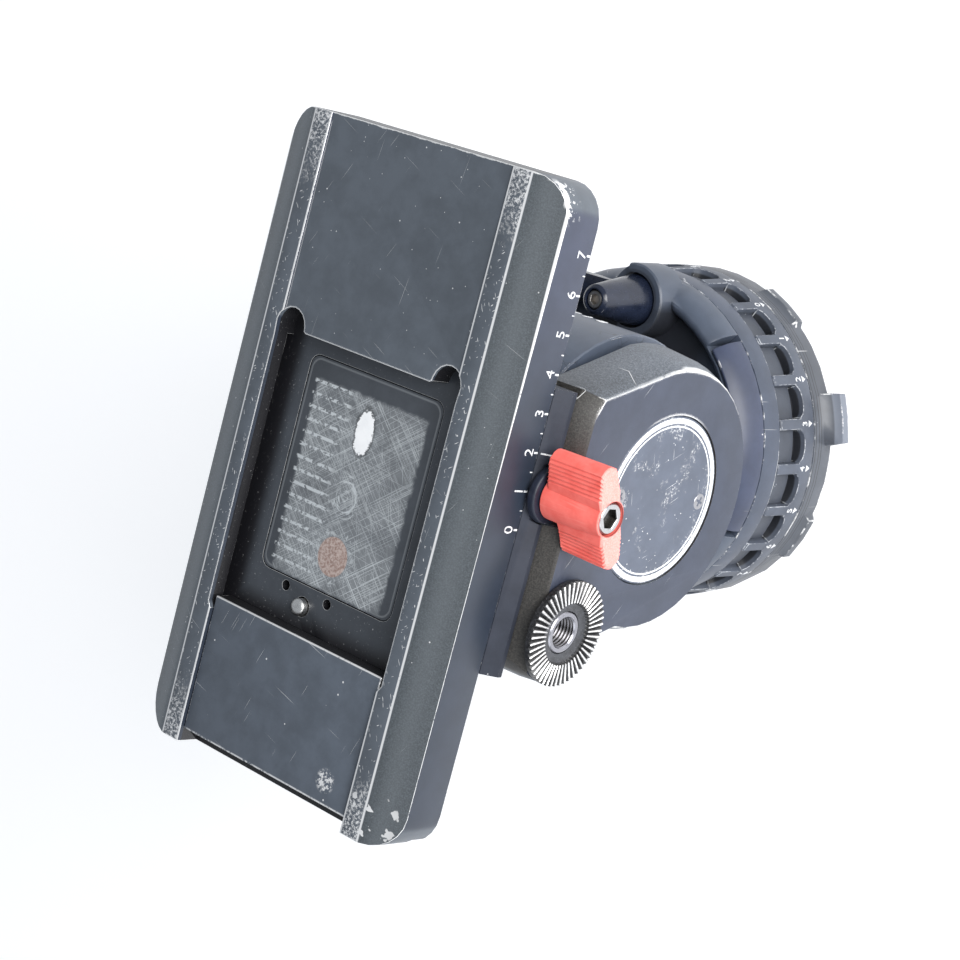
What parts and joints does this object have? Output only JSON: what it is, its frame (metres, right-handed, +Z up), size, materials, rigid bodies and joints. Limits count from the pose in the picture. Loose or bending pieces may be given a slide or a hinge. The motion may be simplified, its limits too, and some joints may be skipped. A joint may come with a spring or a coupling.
{
  "type": "fluid video tripod head",
  "caption": "Fluid pan and tilt tripod head with a half-ball base, numbered drag ring, sliding camera platform and red side clamp lever.",
  "frame": {"origin": "centre of the half-ball on the pan axis, level with the underside of the base flange", "axes": "+Z up along the pan axis, +Y towards where the lens looks, +X to the side with the clamp lever and cover disc"},
  "size_m": [0.1413, 0.1739, 0.2276],
  "materials": {
    "anodised_blue_grey": "worn blue-grey anodised aluminium, bare metal along the edges",
    "olive_grey_casting": "fine speckled olive-grey paint on a casting",
    "dark_casting": "dull black inside surfaces",
    "black_anodised": "satin black anodised, bare crests on the teeth",
    "grip_plastic": "dark grey moulded grip plastic with worn white scale",
    "label_plate": "scuffed dark plate with silvery rubbed patches",
    "bright_steel": "turned and brushed steel",
    "red_lever_plastic": "salmon-red moulded plastic with fine ribs",
    "white_slide_plastic": "white sliding plastic",
    "level_glass": "yellow-green spirit level"
  },
  "bodies": {
    "ball_base": {"half_ball": "anodised_blue_grey", "tie_down_stud": "bright_steel", "base_flange": "anodised_blue_grey", "pan_spindle": "bright_steel", "spindle_nut": "bright_steel", "pan_damper_stator": "dark_casting"},
    "pan_drag_ring": {"pan_drag_ring": "grip_plastic"},
    "pan_body": {"pan_housing": "anodised_blue_grey", "housing_side_panel": "anodised_blue_grey", "housing_skirt": "anodised_blue_grey", "drum_end_cap": "dark_casting", "tilt_bearing_left": "bright_steel", "tilt_bearing_right": "bright_steel", "pan_bearing_lower": "bright_steel", "pan_bearing_upper": "bright_steel", "pan_damper_rotor": "dark_casting", "tilt_damper_stator": "dark_casting", "counterbalance_spring_left": "bright_steel", "counterbalance_spring_right": "bright_steel", "bubble_level_cup": "dark_casting", "bubble_level_glass": "level_glass"},
    "pan_brake": {"pan_brake_lever": "black_anodised", "pan_brake_screw": "bright_steel"},
    "tilt_body": {"tilt_bracket": "olive_grey_casting", "cheek_bolt_left_front": "bright_steel", "cheek_bolt_left_rear": "bright_steel", "cheek_bolt_right_front": "bright_steel", "cheek_bolt_right_rear": "bright_steel", "dovetail_rail": "bright_steel", "right_cheek": "olive_grey_casting", "left_cheek": "olive_grey_casting", "right_rosette": "black_anodised", "left_rosette": "black_anodised", "right_rosette_insert": "bright_steel", "left_rosette_insert": "bright_steel", "tilt_axle": "bright_steel", "tilt_axle_nut": "bright_steel", "tilt_damper_rotor": "black_anodised", "cover_disc": "anodised_blue_grey", "disc_screw_upper": "bright_steel", "disc_screw_lower": "bright_steel", "clamp_shoe": "white_slide_plastic"},
    "clamp_lever": {"clamp_lever": "red_lever_plastic", "clamp_lever_collar": "black_anodised", "clamp_shaft": "bright_steel", "clamp_lever_screw": "bright_steel"},
    "tilt_drag_dial": {"tilt_drag_dial": "black_anodised"},
    "counterbalance_dial": {"counterbalance_dial": "black_anodised"},
    "tilt_brake": {"tilt_brake_lever": "black_anodised", "tilt_brake_screw": "bright_steel"},
    "platform": {"sliding_platform": "anodised_blue_grey", "pocket_plate": "label_plate", "rear_insert": "anodised_blue_grey", "slide_stop_front": "bright_steel", "slide_stop_rear": "bright_steel", "release_pin_spring": "bright_steel"},
    "release_pin": {"release_pin": "bright_steel"}
  },
  "joints": [
    {"name": "pan", "type": "hinge", "parent": "ball_base", "child": "pan_body", "pos_m": [0, 0, 0.03], "axis": [0, 0, 1], "continuous": true},
    {"name": "pan_drag_setting", "type": "hinge", "parent": "ball_base", "child": "pan_drag_ring", "pos_m": [0, 0, 0.017], "axis": [0, 0, 1], "range_deg": [-45, 60]},
    {"name": "pan_brake_turn", "type": "hinge", "parent": "pan_body", "child": "pan_brake", "pos_m": [0.0012, 0.04, 0.045], "axis": [0, 0, 1], "range_deg": [-35, 20]},
    {"name": "tilt", "type": "hinge", "parent": "pan_body", "child": "tilt_body", "pos_m": [0, 0, 0.0884], "axis": [1, 0, 0], "range_deg": [-69.84, 85.16]},
    {"name": "clamp_lever_turn", "type": "hinge", "parent": "tilt_body", "child": "clamp_lever", "pos_m": [0.06, 0.0024, 0.12835], "axis": [1, 0, 0], "range_deg": [0, 90]},
    {"name": "tilt_drag_setting", "type": "hinge", "parent": "tilt_body", "child": "tilt_drag_dial", "pos_m": [-0.06, 0, 0.0884], "axis": [1, 0, 0], "range_deg": [-60, 120]},
    {"name": "counterbalance_setting", "type": "hinge", "parent": "tilt_body", "child": "counterbalance_dial", "pos_m": [-0.06, 0, 0.0884], "axis": [1, 0, 0], "range_deg": [0, 150]},
    {"name": "tilt_brake_turn", "type": "hinge", "parent": "tilt_body", "child": "tilt_brake", "pos_m": [-0.062, 0.01976, 0.11825], "axis": [1, 0, 0], "range_deg": [-30, 15]},
    {"name": "platform_slide", "type": "slide", "parent": "tilt_body", "child": "platform", "axis": [0, 0.996, -0.0899], "range_m": [-0.05, 0.02]},
    {"name": "release_pin_press", "type": "slide", "parent": "platform", "child": "release_pin", "axis": [0, 0.0899, 0.996], "range_m": [-0.0015, 0], "stiffness_N_per_m": 400, "springref_m": 0.001}
  ]
}
